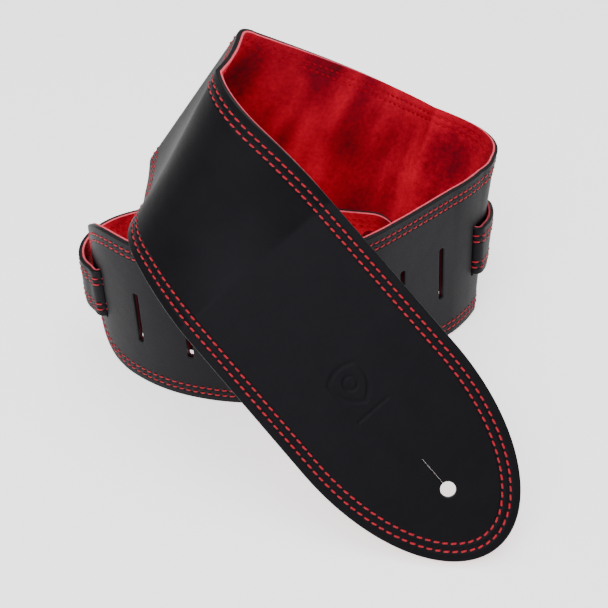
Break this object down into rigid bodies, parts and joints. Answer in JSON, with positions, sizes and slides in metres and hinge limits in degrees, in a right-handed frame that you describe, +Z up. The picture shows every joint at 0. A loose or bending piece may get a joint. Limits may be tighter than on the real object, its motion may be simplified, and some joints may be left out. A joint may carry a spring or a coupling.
{
  "type": "guitar strap",
  "caption": "Wide two-ply leather guitar strap lying coiled on its edge, red suede lining, stitched edges, slotted end with a narrow adjusting tail woven through",
  "frame": {"origin": "centre of the bounding box's bottom, on the surface the coiled strap stands on", "axes": "+Z up, -Y towards the side the front end's tip points to, +X to the right seen from there"},
  "size_m": [0.2207, 0.2479, 0.1704],
  "materials": {
    "black_leather": "semi-matte, fine grain",
    "red_suede": "matte napped suede",
    "red_thread": "matte waxed thread"
  },
  "bodies": {
    "coil": {"strap_face": "black_leather", "strap_lining": "red_suede", "strap_outer_needle_thread": "red_thread", "strap_inner_needle_thread": "red_thread", "strap_outer_bobbin_thread": "red_thread", "strap_inner_bobbin_thread": "red_thread", "tail_face": "black_leather", "tail_lining": "red_suede", "tail_outer_needle_thread": "red_thread", "tail_inner_needle_thread": "red_thread", "tail_outer_bobbin_thread": "red_thread", "tail_inner_bobbin_thread": "red_thread"},
    "front_end": {"front_face": "black_leather", "front_lining": "red_suede", "front_outer_needle_thread": "red_thread", "front_inner_needle_thread": "red_thread", "front_outer_bobbin_thread": "red_thread", "front_inner_bobbin_thread": "red_thread"},
    "tail_end": {"tail_end_face": "black_leather", "tail_end_lining": "red_suede", "tail_end_outer_needle_thread": "red_thread", "tail_end_inner_needle_thread": "red_thread", "tail_end_outer_bobbin_thread": "red_thread", "tail_end_inner_bobbin_thread": "red_thread"}
  },
  "joints": [
    {"name": "front_end_flex", "type": "hinge", "parent": "coil", "child": "front_end", "pos_m": [-0.01521, -0.03721, 0.10113], "axis": [-0.7547, -0.3802, -0.5347], "range_deg": [0, 20]},
    {"name": "tail_end_swing", "type": "hinge", "parent": "coil", "child": "tail_end", "pos_m": [-0.08935, 0.06346, 0.04342], "axis": [0.0107, 0.0029, -0.9999], "range_deg": [0, 8]}
  ]
}
